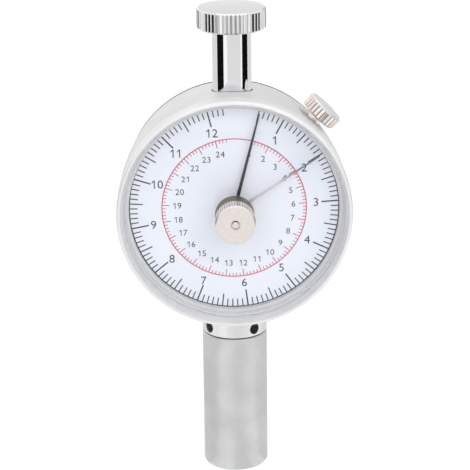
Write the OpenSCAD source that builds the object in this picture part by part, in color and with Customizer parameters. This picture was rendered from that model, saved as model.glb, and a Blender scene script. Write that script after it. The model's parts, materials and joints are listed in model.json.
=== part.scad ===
// Fruit hardness tester: a spring-loaded plunger drives the hand of a round dial.
// A second hand, the drag hand, keeps the peak reading until the knob on the crystal turns it back.
// Frame: origin at the centre of the handle's end, +Z up the plunger, dial facing -Y, millimetres.
// Depths are Y values: the plunger's axis is Y = 0, and smaller Y is nearer the reader of the dial.

/* [Case] */
// Radius of the bezel and of the case's front edge
case_r = 30; // [29:0.5:34]
// How far the case's curve has come in at the depth of the back cover's outside
case_taper = 2.05; // [1.4:0.05:2.3]
// Distance from the plunger's axis forward to the face of the dial
dial_reach = 8.7; // [8.6:0.1:10]
// Distance from the plunger's axis back to the outside of the back cover
rear_reach = 13.8; // [12.5:0.1:16]
// Wall of the case round the bezel's skirt, at the front edge
front_wall = 1.3; // [1.1:0.05:1.5]
// Inset of the case's hollow from the radius of its front edge
hollow_inset = 3.8; // [3.4:0.1:4.2]
// Thickness of the back cover outside the case
cover_t = 1.1; // [0.8:0.1:1.6]
// How far the back cover's spigot goes into the case
cover_spigot = 1.3; // [1:0.1:2]
// Distance of the back cover's screws from the wall of the hollow
cover_screw_inset = 3.2; // [2.8:0.1:4.7]
// Length of the back cover's screws in the case
cover_screw_grip = 4; // [3:0.1:5]
// Number of back cover screws
cover_screws = 4; // [3:1:6]

/* [Bezel and dial] */
// How far the bezel's rim stands in front of the dial
rim_stand = 6.8; // [6.4:0.1:8]
// Width of the bezel's outside band
bezel_band = 4.6; // [4:0.1:5.4]
// Radius of the rim's rounded outer edge
rim_round = 0.8; // [0.3:0.1:0.9]
// Width of the rim's front face, rounding included
rim_w = 1; // [1:0.05:1.3]
// How far the bezel's inner wall leans in, down to the dial ring
rim_lean = 1.1; // [0.9:0.05:1.2]
// Height of the grey ring that frames the dial
dial_ring_h = 1.5; // [1.2:0.1:2]
// Width of the grey ring that frames the dial
dial_ring_w = 1; // [0.7:0.1:1.5]
// Thickness of the dial
dial_t = 0.8; // [0.5:0.1:0.9]
// Front of the crystal, ahead of the dial
crystal_stand = 4.6; // [4.5:0.1:5]
// Thickness of the crystal
crystal_t = 1.7; // [1.2:0.1:1.8]
// Width of the ledge that carries the crystal
crystal_ledge = 0.3; // [0.2:0.05:0.35]
// Thickness of the wire of the bezel's snap ring
snap_wire_d = 0.7; // [0.5:0.05:0.8]

/* [Plunger] */
// Diameter of the chromed plunger
rod_d = 10; // [9:0.1:10]
// Length of plunger that shows between the case and the head
rod_out = 15.8; // [14:0.1:22]
// Diameter of the knurled head
head_d = 17.6; // [14:0.1:20]
// Height of the knurled head
head_h = 5.65; // [4.5:0.05:8]
// Number of teeth of the head's knurl
head_teeth = 52; // [40:1:64]
// Diameter of the spindle that the plunger becomes inside the case
spindle_d = 6; // [5.6:0.1:6.2]
// Height of the dome on the head
head_dome = 0.35; // [0.1:0.05:0.6]

/* [Handle] */
// Diameter of the handle and of the collar above it
handle_d = 17; // [16:0.1:20]
// Length of the handle
handle_len = 38.1; // [36:0.1:50]
// Rounding of the handle's lower edge
handle_round = 1.3; // [0.3:0.1:2]
// Solid floor at the end of the handle
handle_floor = 4; // [3:0.1:5]
// Distance from the handle up to the underside of the case
collar_len = 6.8; // [5:0.1:9]
// Diameter of the collar's spanner holes
spanner_hole_d = 2.9; // [2:0.1:3.4]
// Height of the spanner holes above the handle
spanner_hole_up = 2.2; // [1.9:0.1:3]
// Number of spanner holes
spanner_holes = 4; // [2:1:6]
// Angle of the first spanner hole, from the right towards the back
spanner_hole_angle = 36.5; // [0:0.5:90]
// Diameter of the threaded neck tube
neck_d = 11.8; // [11.4:0.1:11.9]
// Depth of the neck tube's thread in the handle
neck_grip = 9.8; // [7:0.1:12]

/* [Spring] */
// Thickness of the load spring's wire
wire_d = 1.5; // [1.2:0.1:1.5]
// Number of turns of the load spring
spring_turns = 6; // [4:0.5:6]
// Thickness of the spring's washer
washer_t = 1; // [0.6:0.1:1.6]

/* [Movement] */
// Module of the rack and pinion
gear_module = 0.4; // [0.38:0.01:0.42]
// Number of teeth of the pinion
pinion_teeth = 10; // [10:1:11]
// Thickness of the movement plate
plate_t = 1; // [0.8:0.05:1.2]
// Thickness of the bridge behind the pinion
bridge_t = 1.15; // [0.9:0.05:1.2]
// Diameter of the pinion's arbor
arbor_d = 1.4; // [1.2:0.1:1.6]
// Angle of the drive hand at rest, clockwise from the top of the dial
drive_angle = 14.4; // [0:0.1:360]
// Angle of the drag hand at rest, clockwise from the top of the dial
drag_angle = 56.6; // [0:0.1:360]
// Travel of the drive hand
hand_travel = 331.2; // [280:0.1:332]
// Distance from the tip of either hand to the edge of the dial
hand_tip_gap = 0.9; // [0.9:0.1:7]

/* [Reset knob] */
// Diameter of the reset knob
knob_d = 10.2; // [8:0.1:14]
// Length of the reset knob
knob_len = 8.6; // [5:0.1:10]
// Length of the knurled grip at the front of the reset knob
knob_grip = 4.2; // [2:0.1:4.5]
// Number of teeth of the reset knob's knurl
knob_teeth = 48; // [30:1:60]
// Diameter of the reset stem
stem_d = 3; // [2.4:0.1:3.4]

/* [Dial lock] */
// Angle of the lock screw, clockwise from the top of the dial
lock_angle = 44.1; // [40:0.1:50]
// Distance from the lock screw forward to the face of the dial
lock_depth = 6.5; // [6:0.1:7]
// Diameter of the lock screw's knurled knob
lock_d = 10.1; // [7:0.1:11]
// Length of the lock screw's knob
lock_len = 3.5; // [2.5:0.1:5]
// Clear height between the case and the lock screw's knob
lock_stand = 1.5; // [1:0.1:3]
// Number of teeth of the lock screw's knurl
lock_teeth = 28; // [18:1:36]
// Diameter of the lock screw's stem
lock_stem_d = 3.5; // [3:0.1:4]
// Diameter of the lock screw's thread
lock_thread_d = 2.5; // [2:0.1:2.8]

/* [Clearances] */
// Radial clearance of a running fit
run_gap = 0.05; // [0.03:0.01:0.08]
// Clearance of pieces that are fixed to each other
fit_gap = 0.02; // [0.01:0.01:0.04]
// Room between pieces that move past each other
free_gap = 0.3; // [0.25:0.05:0.4]

/* [Hidden] */
$fn = 96;

// Depths of the case, front to back
rim_y = -dial_reach - rim_stand;
seam_y = rim_y + bezel_band;
dial_back_y = -dial_reach + dial_t;
ledge_t = 0.6;
ledge_back_y = dial_back_y + ledge_t;
skirt_end_y = -neck_d / 2 - free_gap;
step_y = -neck_d / 2;
cover_y = rear_reach - cover_t;
spigot_y = cover_y - cover_spigot;
snap_y = (ledge_back_y + skirt_end_y) / 2;

// Radii of the case and bezel
hollow_r = case_r - hollow_inset;
function case_r_at(y) = case_r - case_taper * pow((y - rim_y) / (rear_reach - rim_y), 2);
curve_steps = 8;
function case_curve(y0, y1, grow = 0) =
    [for (i = [0:curve_steps]) let (y = y0 + (y1 - y0) * i / curve_steps) [case_r_at(y) + grow, y]];
bore_r = case_r - front_wall;
skirt_r = bore_r - run_gap;
snap_ring_r = bore_r - run_gap / 2;
rim_in_r = case_r - rim_w;
throat_r = rim_in_r - rim_lean;
skirt_in_r = throat_r - 0.6;
dial_r = throat_r - dial_ring_w;
hand_len = dial_r - hand_tip_gap;
cover_screw_ring_r = hollow_r - cover_screw_inset;
ledge_in_r = hollow_r + 0.1;
dial_out_r = throat_r - fit_gap;
crystal_back = crystal_stand - crystal_t;
crystal_r = throat_r + crystal_ledge;

// Heights of the handle, collar and case
case_bottom_z = handle_len + collar_len;
dial_z = case_bottom_z + case_r_at(0);
case_top_z = dial_z + case_r_at(0);
head_z = case_top_z + rod_out;
neck_z = handle_len - neck_grip;
neck_seat_z = dial_z - hollow_r + 1.5;
neck_flange_t = 2;
neck_flange_r = neck_d / 2 + 1.5;
collar_r = handle_d / 2;
neck_r = neck_d / 2;

// Plunger, its guides and its travel
rod_r = rod_d / 2;
spindle_r = spindle_d / 2;
pitch_r = gear_module * pinion_teeth / 2;
travel = pitch_r * hand_travel * PI / 180;
bush_wall = 1.05;
bush_r = rod_r + run_gap + bush_wall;
bush_len = 5.5;
bush_top_z = dial_z + hollow_r - 0.2;
bush_low_z = bush_top_z - bush_len;
boss_r = bush_r + 1.5;
shoulder_z = bush_low_z - 1.5;
head_stud_r = 3;
head_stud_len = 3.2;
stop_gap = 0.1;
seat_top_z = neck_z - stop_gap;
seat_t = 2;
stud_r = spindle_r - 1;
nut_t = 2.4;
nut_r = 3.4;
spring_floor_z = handle_floor + washer_t;
spring_r = neck_r - free_gap - wire_d / 2 - 0.1;
rings_per_turn = 8;
wire_sides = 6;
spring_rings = rings_per_turn * spring_turns;
spring_rise = seat_top_z - seat_t - spring_floor_z - wire_d - 2 * fit_gap;
spring_low_z = spring_floor_z + fit_gap + wire_d / 2;
lower_bush_r = neck_r - 1.3;
lower_bush_len = 9;

// Movement, front to back
pinion_play = 0.25;
plate_y = step_y - 0.6;
plate_back_y = plate_y + plate_t;
pinion_y = plate_back_y + pinion_play;
bridge_back_y = -spindle_r + 0.6;
bridge_y = bridge_back_y - bridge_t;
pinion_back_y = bridge_y - pinion_play;
spindle_flat_y = bridge_back_y + 0.4;
plate_r = hollow_r - 0.2;
seat_ring_in_r = hollow_r - 2.2;
seat_ring_t = 1.2;
plate_screw_ring_r = hollow_r - 1.2;
plate_screw_angles = [75, 105, 255, 285];
arbor_bush_r = 2;
arbor_r = arbor_d / 2;
pivot_r = arbor_r - 0.2;
pillar_r = 1.2;
pillar_x = -9.5;
pillar_z = 4;

// Screws
screw_r = 1;
screw_head_r = 1.9;
screw_head_h = 1.2;
screw_slot = 0.4;
plate_screw_r = 0.6;
plate_screw_head_r = 0.9;
plate_screw_head_h = 0.6;
plate_screw_grip = 1;

// Rack and pinion teeth
pitch = PI * gear_module;
addendum = 0.8 * gear_module;
dedendum = 1.2 * gear_module;
rack_tooth = 0.4 * pitch;
pinion_tooth = 0.38 * pitch;
rack_flat_x = spindle_r - 0.8;
rack_t = 2.2;
rack_back_x = rack_flat_x + rack_t;
rack_teeth_up = ceil(travel / pitch) + 2;
rack_teeth_down = 2;
rack_low_z = dial_z - (rack_teeth_down + 0.5) * pitch;
rack_high_z = dial_z + (rack_teeth_up + 0.5) * pitch;
rack_screw_end = 3;
rack_screw_heights = [rack_low_z + rack_screw_end, rack_high_z - rack_screw_end];
rack_screw_deep = 1.5;

// Hands, stem and knob, as heights in front of the dial
hub_low = 0.35;
hub_high = 1.75;
drive_hand_low = 0.95;
drive_hand_t = 0.3;
drag_hand_low = 2.05;
drag_hand_t = 0.2;
drag_pin_r = 0.9;
bush_flange_t = 0.3;
stem_bush_front = crystal_stand + 0.15;
knob_low = stem_bush_front + 0.35;
knob_high = knob_low + knob_len;
stem_r = stem_d / 2;
stem_bush_r = stem_r + 1.2;
knob_screw_r = 0.85;
knob_screw_len = 3;
pin_groove_w = 0.35;
pin_groove_deep = 0.8;
knurl_depth = 0.2;
knob_knurl_depth = 0.13;

// Lock screw and the shoe that it draws against the bezel's skirt
lock_y = -dial_reach + lock_depth;
lock_seat_r = case_r_at(lock_y) - 0.4;
lock_knob_r = case_r_at(lock_y) + lock_stand;
shoe_travel = 0.3;
shoe_play = 0.05;
shoe_toe_r = skirt_in_r - shoe_travel - shoe_play;
shoe_out_r = hollow_r - shoe_travel - shoe_play;
shoe_in_r = shoe_out_r - 1.5;
shoe_front_y = ledge_back_y + 0.2;
toe_back_y = skirt_end_y - 0.1;
shoe_back_y = lock_y + lock_thread_d / 2 + 1.2;
shoe_sweep = 14;

silver = [0.83, 0.83, 0.84];
chrome = [0.88, 0.88, 0.9];
nickel = [0.86, 0.82, 0.79];
steel = [0.66, 0.67, 0.69];
brass = [0.78, 0.64, 0.34];
black = [0.12, 0.12, 0.14];

// Places its children on the dial's axis, with their Z as the depth Y
module on_dial_axis() {
    translate([0, 0, dial_z]) rotate([-90, 0, 0]) children();
}

// Revolves an outline of [radius, depth] points about the dial's axis
module dial_turned(points) {
    on_dial_axis() rotate_extrude() polygon(points);
}

// A round disc or tube on the dial's axis, between two depths
module dial_disc(r, y0, y1, bore = 0) {
    on_dial_axis() translate([0, 0, y0]) difference() {
        cylinder(r = r, h = y1 - y0);
        if (bore > 0) translate([0, 0, -1]) cylinder(r = bore, h = y1 - y0 + 2);
    }
}

// Turns its children, drawn straight up from the dial's centre, clockwise to an angle
module at_clock(angle) {
    translate([0, 0, dial_z]) rotate([0, angle, 0]) children();
}

// A post along the depth, at an angle and radius on the dial
module dial_post(angle, ring_r, r, y0, y1) {
    at_clock(angle) translate([0, y0, ring_r]) rotate([-90, 0, 0]) cylinder(r = r, h = y1 - y0, $fn = 32);
}

// Outline of a straight knurl: flat crests with a V groove after each
module knurl_outline(r, teeth, depth) {
    step = 360 / teeth;
    crest = 0.55 * step;
    polygon([for (i = [0:teeth - 1], p = [[0, r], [crest, r], [(crest + step) / 2, r - depth]])
        let (a = i * step + p[0]) [p[1] * cos(a), p[1] * sin(a)]]);
}

// A straight knurl along Z, with bevelled ends
module knurled(r, h, teeth, depth, bevel) {
    intersection() {
        linear_extrude(height = h) knurl_outline(r, teeth, depth);
        rotate_extrude()
            polygon([[0, 0], [r - bevel, 0], [r + 0.01, bevel], [r + 0.01, h - bevel],
                [r - bevel, h], [0, h]]);
    }
}

// The space behind a depth, for clipping bosses
module behind(y) {
    far = 4 * case_r;
    translate([-far / 2, y, 0]) cube([far, far, dial_z + far]);
}

// Case

// The outside of the case as a solid, between the bezel's seam and the back cover
module case_solid(grow = 0) {
    dial_turned(concat([[0, seam_y]], case_curve(seam_y, cover_y, grow), [[0, cover_y]]));
}

module case_shell() {
    difference() {
        case_solid();
        dial_disc(bore_r, seam_y - 1, step_y);
        dial_disc(hollow_r, step_y - 1, cover_y + 1);
    }
}

module case_body() {
    color(silver) difference() {
        union() {
            case_shell();
            difference() {
                dial_disc(hollow_r + 0.5, plate_back_y, plate_back_y + seat_ring_t, seat_ring_in_r);
                at_clock(lock_angle) translate([-shoe_width() / 2 - 1, plate_back_y - 1, 0])
                    cube([shoe_width() + 2, seat_ring_t + 2, hollow_r]);
            }
            intersection() {
                union() {
                    translate([0, 0, bush_low_z]) cylinder(r = boss_r, h = bush_len + 1);
                    translate([0, 0, dial_z - hollow_r - 1.4]) cylinder(r = neck_flange_r + 0.6, h = 2.9);
                }
                behind(step_y);
            }
            cover_posts(cover_screw_inset + 0.4, spigot_y - cover_screw_grip - 2, spigot_y);
        }
        translate([0, 0, bush_low_z - 1]) cylinder(r = bush_r + fit_gap, h = bush_len + 1);
        translate([0, 0, bush_top_z - 1]) cylinder(r = rod_r + free_gap, h = case_r);
        translate([0, 0, case_bottom_z - 5]) cylinder(r = neck_r + fit_gap, h = case_r);
        translate([0, 0, neck_seat_z]) cylinder(r = neck_flange_r + free_gap, h = neck_flange_t + free_gap);
        cover_posts(screw_r + fit_gap, spigot_y - cover_screw_grip - 1, cover_y + 1);
        plate_posts(plate_screw_r + fit_gap, plate_back_y - 1, plate_back_y + plate_screw_grip + 0.2);
        on_lock_axis(lock_seat_r) cylinder(r = lock_stem_d / 2 + run_gap, h = case_r, $fn = 48);
        on_lock_axis(hollow_r - 2) cylinder(r = lock_thread_d / 2 + run_gap, h = case_r, $fn = 48);
        snap_groove(snap_wire_d / 2 + fit_gap);
    }
}

// Posts on the ring of the back cover's screws
module cover_posts(r, y0, y1) {
    for (i = [0:cover_screws - 1]) dial_post(45 + 360 * i / cover_screws, cover_screw_ring_r, r, y0, y1);
}

// Posts on the ring of the movement plate's screws
module plate_posts(r, y0, y1) {
    for (a = plate_screw_angles) dial_post(a, plate_screw_ring_r, r, y0, y1);
}

module back_cover() {
    edge = 0.25;
    cover_r = case_r_at(cover_y);
    color(black) difference() {
        union() {
            dial_turned([[0, cover_y + fit_gap], [cover_r, cover_y + fit_gap],
                [cover_r, rear_reach - edge], [cover_r - edge, rear_reach], [0, rear_reach]]);
            dial_disc(hollow_r - run_gap, spigot_y + fit_gap, rear_reach - edge);
        }
        cover_posts(screw_r + 0.1, spigot_y - 1, rear_reach + 1);
        cover_posts(screw_head_r + 0.15, rear_reach - screw_head_h, rear_reach + 1);
    }
}

module back_cover_screws() {
    color(steel) difference() {
        union() {
            cover_posts(screw_r, spigot_y - cover_screw_grip, rear_reach - 0.4);
            cover_posts(screw_head_r, rear_reach - screw_head_h + fit_gap, rear_reach - 0.1);
        }
        for (i = [0:cover_screws - 1]) at_clock(45 + 360 * i / cover_screws)
            translate([-screw_head_r, rear_reach - 0.6, cover_screw_ring_r - screw_slot / 2])
                cube([2 * screw_head_r, 1, screw_slot]);
    }
}

// Snap ring: a wire in a groove shared by the case and the bezel's skirt
module snap_groove(r) {
    on_dial_axis() translate([0, 0, snap_y]) rotate_extrude()
        translate([snap_ring_r, 0]) circle(r = r, $fn = 32);
}

module snap_ring() {
    open_angle = 14;
    color(steel) on_dial_axis() translate([0, 0, snap_y]) rotate([0, 0, 90 + open_angle / 2])
        rotate_extrude(angle = 360 - open_angle)
            translate([snap_ring_r, 0]) circle(r = snap_wire_d / 2, $fn = 32);
}

// Neck and handle

module neck_tube() {
    color(steel) difference() {
        union() {
            translate([0, 0, neck_z]) cylinder(r = neck_r, h = neck_seat_z + neck_flange_t - neck_z);
            translate([0, 0, neck_seat_z + fit_gap]) cylinder(r = neck_flange_r, h = neck_flange_t);
        }
        translate([0, 0, neck_z - 1]) cylinder(r = lower_bush_r + fit_gap, h = case_r + handle_len);
    }
}

module lower_bush() {
    top_z = neck_seat_z + neck_flange_t;
    color(brass) translate([0, 0, top_z - lower_bush_len]) difference() {
        cylinder(r = lower_bush_r, h = lower_bush_len);
        translate([0, 0, -1]) cylinder(r = spindle_r + run_gap, h = lower_bush_len + 2);
    }
}

module upper_bush() {
    color(brass) translate([0, 0, bush_low_z]) difference() {
        cylinder(r = bush_r, h = bush_len - fit_gap);
        translate([0, 0, -1]) cylinder(r = rod_r + run_gap, h = bush_len + 2);
    }
}

// Collar with a saddle that fits the round underside of the case
module neck_collar() {
    bevel = 0.25;
    color(chrome) difference() {
        translate([0, 0, handle_len + fit_gap]) rotate_extrude()
            polygon([[neck_r + fit_gap, 0], [collar_r - bevel, 0], [collar_r, bevel],
                [collar_r, collar_len + 3], [neck_r + fit_gap, collar_len + 3]]);
        case_solid(fit_gap);
        for (i = [0:spanner_holes - 1])
            rotate([0, 0, spanner_hole_angle + 360 * i / spanner_holes])
                translate([0, 0, handle_len + spanner_hole_up])
                    rotate([0, 90, 0]) cylinder(r = spanner_hole_d / 2, h = 2 * collar_r, $fn = 48);
    }
}

module handle_tube() {
    bevel = 0.3;
    arc = 8;
    r = collar_r;
    outside = [for (i = [0:arc]) let (a = -90 + 90 * i / arc)
        [r - handle_round + handle_round * cos(a), handle_round + handle_round * sin(a)]];
    color(silver) rotate_extrude()
        polygon(concat([[0, 0]], outside, [[r, handle_len - bevel], [r - bevel, handle_len],
            [neck_r + fit_gap, handle_len], [neck_r + fit_gap, handle_floor], [0, handle_floor]]));
}

// Load spring and its seats

module spring_washer() {
    color(steel) translate([0, 0, handle_floor + fit_gap]) difference() {
        union() {
            cylinder(r = neck_r - free_gap, h = washer_t - fit_gap);
            cylinder(r = spring_r - wire_d / 2 - free_gap, h = washer_t + 1);
        }
        translate([0, 0, -1]) cylinder(r = stud_r, h = washer_t + 3);
    }
}

module spring_seat() {
    color(steel) translate([0, 0, seat_top_z - seat_t]) difference() {
        union() {
            cylinder(r = neck_r - free_gap, h = seat_t);
            translate([0, 0, -1]) cylinder(r = spring_r - wire_d / 2 - free_gap, h = seat_t);
        }
        translate([0, 0, -2]) cylinder(r = stud_r + fit_gap, h = seat_t + 3);
    }
}

module seat_nut() {
    color(steel) translate([0, 0, seat_top_z - seat_t - 1 - nut_t - fit_gap]) difference() {
        cylinder(r = nut_r, h = nut_t, $fn = 6);
        translate([0, 0, -1]) cylinder(r = stud_r + fit_gap, h = nut_t + 2, $fn = 48);
    }
}

// The load spring is one tube swept round a helix
function helix_point(i) = let (a = 360 * i / rings_per_turn)
    [spring_r * cos(a), spring_r * sin(a), spring_low_z + spring_rise * i / spring_rings];
function helix_ring(i) = let (a = 360 * i / rings_per_turn)
    [for (k = [0:wire_sides - 1]) let (b = 360 * k / wire_sides, c = wire_d / 2 * cos(b))
        helix_point(i) + [c * cos(a), c * sin(a), wire_d / 2 * sin(b)]];
function turn_gap(i) =
    min([for (k = [-2:2]) norm(helix_point(i + rings_per_turn + k) - helix_point(i))]) - wire_d;
echo(spring_gap = min([for (i = [0:spring_rings - rings_per_turn - 2]) turn_gap(i)]));

module load_spring() {
    n = wire_sides;
    points = [for (i = [0:spring_rings]) each helix_ring(i)];
    sides = [for (i = [0:spring_rings - 1], k = [0:n - 1]) let (a = i * n, b = (k + 1) % n)
        each [[a + k, a + n + k, a + b], [a + b, a + n + k, a + n + b]]];
    start = [for (k = [1:n - 2]) [0, k, k + 1]];
    last = spring_rings * n;
    end = [for (k = [1:n - 2]) [last, last + k + 1, last + k]];
    color(steel) polyhedron(points = points, faces = concat(sides, start, end));
}

// Movement

// Width of the lock shoe, measured across the dial's radius
function shoe_width() = 2 * shoe_toe_r * sin(shoe_sweep / 2);

module movement_plate() {
    notch_low = bush_low_z - dial_z - 0.6;
    notch_high = neck_seat_z + neck_flange_t - dial_z + 0.6;
    notch_w = 2 * (boss_r + 0.5);
    color(brass) difference() {
        dial_disc(plate_r, plate_y, plate_back_y - fit_gap);
        for (z = [notch_low, notch_high - case_r])
            translate([-notch_w / 2, plate_y - 1, dial_z + z]) cube([notch_w, plate_t + 2, case_r]);
        at_clock(lock_angle) translate([-shoe_width() / 2 - 0.8, plate_y - 1, shoe_in_r - 0.6])
            cube([shoe_width() + 1.6, plate_t + 2, case_r]);
        dial_disc(arbor_bush_r + fit_gap, plate_y - 1, plate_back_y + 1);
        plate_posts(plate_screw_r + 0.1, plate_y - 1, plate_back_y + 1);
    }
}

module plate_screws() {
    color(steel) difference() {
        union() {
            plate_posts(plate_screw_r, plate_y - 0.3, plate_back_y + plate_screw_grip);
            plate_posts(plate_screw_head_r, plate_y - plate_screw_head_h, plate_y - fit_gap);
        }
        for (a = plate_screw_angles) at_clock(a)
            translate([-1, plate_y - plate_screw_head_h - 0.75, plate_screw_ring_r - screw_slot / 2])
                cube([2, 1, screw_slot]);
    }
}

module arbor_bush() {
    color(brass) dial_disc(arbor_bush_r, plate_y - 0.1, plate_back_y + 0.1, arbor_r + run_gap);
}

// Outline of the bridge: an eye at the arbor and two feet on the pillars
module bridge_outline() {
    eye_r = 1.6;
    foot_r = pillar_r + 0.8;
    circle(r = eye_r);
    polygon([[0, -eye_r], [0, eye_r], [pillar_x, pillar_z + foot_r], [pillar_x, -pillar_z - foot_r]]);
    for (s = [-1, 1]) translate([pillar_x, s * pillar_z]) circle(r = foot_r);
}

module arbor_bridge() {
    color(brass) difference() {
        on_dial_axis() translate([0, 0, bridge_y]) linear_extrude(height = bridge_t) bridge_outline();
        dial_disc(pivot_r + run_gap, bridge_y - 1, bridge_back_y + 1);
        for (s = [-1, 1]) pillar_post(s, plate_screw_r + 0.1, bridge_y - 1, bridge_back_y + 1);
    }
}

module pillar_post(s, r, y0, y1) {
    translate([pillar_x, y0, dial_z + s * pillar_z]) rotate([-90, 0, 0])
        cylinder(r = r, h = y1 - y0, $fn = 32);
}

module bridge_pillars() {
    color(brass) for (s = [-1, 1]) difference() {
        pillar_post(s, pillar_r, plate_back_y, bridge_y - fit_gap);
        pillar_post(s, plate_screw_r + fit_gap, bridge_y - 1.5, bridge_y + 1);
    }
}

module bridge_screws() {
    color(steel) for (s = [-1, 1]) difference() {
        union() {
            pillar_post(s, plate_screw_r, bridge_y - 1.4, bridge_back_y + 0.1);
            pillar_post(s, plate_screw_head_r, bridge_back_y + fit_gap, bridge_back_y + plate_screw_head_h);
        }
        translate([pillar_x, bridge_back_y + plate_screw_head_h + 0.25, dial_z + s * pillar_z])
            cube([2, 1, screw_slot], center = true);
    }
}

// Outline of the pinion, with a gap between two teeth towards +X
module pinion_outline() {
    root_r = pitch_r - dedendum;
    tip_r = pitch_r + addendum;
    half = 90 * pinion_tooth / (PI * pitch_r);
    circle(r = root_r + 0.05);
    for (i = [0:pinion_teeth - 1]) rotate((i + 0.5) * 360 / pinion_teeth)
        polygon([[root_r * 0.7, -root_r * sin(half)], [root_r, -root_r * sin(half)],
            [pitch_r, -pitch_r * sin(half)], [tip_r, -tip_r * sin(half) * 0.4],
            [tip_r, tip_r * sin(half) * 0.4], [pitch_r, pitch_r * sin(half)],
            [root_r, root_r * sin(half)], [root_r * 0.7, root_r * sin(half)]]);
}

module pinion_arbor() {
    color(steel) {
        dial_disc(arbor_r, -dial_reach - hub_high, pinion_back_y);
        dial_disc(pivot_r, pinion_back_y - 0.5, bridge_back_y);
        on_dial_axis() translate([0, 0, pinion_y])
            linear_extrude(height = pinion_back_y - pinion_y) pinion_outline();
    }
}

// Hands

// A hand in the plane of the dial, pointing to an angle, at a height in front of the dial
module hand(angle, low, t, root_w, tip_w, eye_r, hole_r) {
    at_clock(angle) translate([0, -dial_reach - low, 0]) rotate([90, 0, 0]) linear_extrude(height = t)
        difference() {
            union() {
                circle(r = eye_r);
                polygon([[-root_w / 2, 0], [root_w / 2, 0], [tip_w / 2, hand_len], [-tip_w / 2, hand_len]]);
            }
            circle(r = hole_r);
        }
}

module drive_hand() {
    color(black) hand(drive_angle, drive_hand_low, drive_hand_t, 0.95, 0.4, 2.2, 1.2 + fit_gap);
}

module hand_hub() {
    color(brass) difference() {
        union() {
            dial_disc(1.7, -dial_reach - drive_hand_low + fit_gap, -dial_reach - hub_low);
            dial_disc(1.2, -dial_reach - hub_high, -dial_reach - hub_low);
        }
        dial_disc(arbor_r + fit_gap, -dial_reach - hub_high - 1, -dial_reach);
    }
}

module drag_hand() {
    color(steel) hand(drag_angle, drag_hand_low, drag_hand_t, 0.85, 0.35, 1.9, drag_pin_r + fit_gap);
}

// Reset stem, carried by a bush in the crystal

module reset_stem() {
    bevel = 0.2;
    front_y = -dial_reach - knob_high + knob_screw_len;
    hand_y = -dial_reach - drag_hand_low - drag_hand_t - fit_gap;
    end_y = -dial_reach - drag_hand_low + 0.1;
    color(chrome) dial_turned([[0, front_y], [stem_r - bevel, front_y], [stem_r, front_y + bevel],
        [stem_r, hand_y], [drag_pin_r, hand_y], [drag_pin_r, end_y], [0, end_y]]);
}

module stem_bush() {
    flange_r = stem_bush_r + 0.8;
    flange_y = -dial_reach - crystal_back;
    color(brass) difference() {
        union() {
            dial_disc(stem_bush_r, -dial_reach - stem_bush_front, flange_y + bush_flange_t);
            dial_disc(flange_r, flange_y + fit_gap, flange_y + bush_flange_t);
        }
        dial_disc(stem_r + run_gap, -dial_reach - stem_bush_front - 1, -dial_reach);
    }
}

module reset_knob() {
    front_y = -dial_reach - knob_high;
    color(nickel) difference() {
        union() {
            on_dial_axis() translate([0, 0, front_y])
                knurled(knob_d / 2, knob_grip, knob_teeth, knob_knurl_depth, 0.35);
            dial_disc(knob_d / 2 - knob_knurl_depth / 2, front_y + knob_grip / 2, -dial_reach - knob_low);
        }
        dial_disc(stem_r + fit_gap, front_y + knob_screw_len - fit_gap, -dial_reach);
        dial_disc(knob_screw_r + fit_gap, front_y - 1, front_y + knob_len);
        dial_disc(knob_screw_r + pin_groove_w, front_y - 1, front_y + pin_groove_deep);
    }
}

module knob_screw() {
    front_y = -dial_reach - knob_high;
    color(nickel) dial_disc(knob_screw_r, front_y + 0.1, front_y + knob_screw_len - fit_gap);
}

// Bezel, crystal and dial

module bezel() {
    arc = 6;
    wall_front = rim_y + 0.3;
    round_edge = [for (i = [0:arc]) let (a = 90 * i / arc)
        [case_r - rim_round + rim_round * sin(a), rim_y + rim_round - rim_round * cos(a)]];
    color(silver) difference() {
        dial_turned(concat(
            [[rim_in_r, wall_front], [rim_in_r + 0.1, rim_y]],
            round_edge,
            [[case_r_at(seam_y - fit_gap), seam_y - fit_gap], [skirt_r, seam_y - fit_gap],
                [skirt_r, skirt_end_y], [skirt_in_r, skirt_end_y], [skirt_in_r, ledge_back_y],
                [ledge_in_r, ledge_back_y],
                [ledge_in_r, dial_back_y], [throat_r, dial_back_y], [throat_r, -dial_reach - crystal_back],
                [crystal_r, -dial_reach - crystal_back], [crystal_r, -dial_reach - crystal_stand - 0.1]]));
        snap_groove(snap_wire_d / 2 + run_gap);
    }
}

module crystal() {
    bevel = 0.1;
    r = crystal_r - fit_gap;
    front = -dial_reach - crystal_stand;
    back = -dial_reach - crystal_back - fit_gap;
    color([0.85, 0.92, 0.95, 0.35]) difference() {
        dial_turned([[0, front], [r - bevel, front], [r, front + bevel], [r, back], [0, back]]);
        dial_disc(stem_bush_r + fit_gap, front - 1, back + 1);
    }
}

module dial_ring() {
    bevel = 0.15;
    r = throat_r - fit_gap;
    front = -dial_reach - dial_ring_h;
    color([0.72, 0.72, 0.74]) dial_turned([[dial_r, -dial_reach - fit_gap], [dial_r, front + bevel],
        [dial_r + bevel, front], [r, front], [r, -dial_reach - fit_gap]]);
}

module dial_plate() {
    color([0.92, 0.94, 0.97]) dial_disc(dial_out_r, -dial_reach, dial_back_y - fit_gap, arbor_r + free_gap);
}

// Plunger

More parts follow.
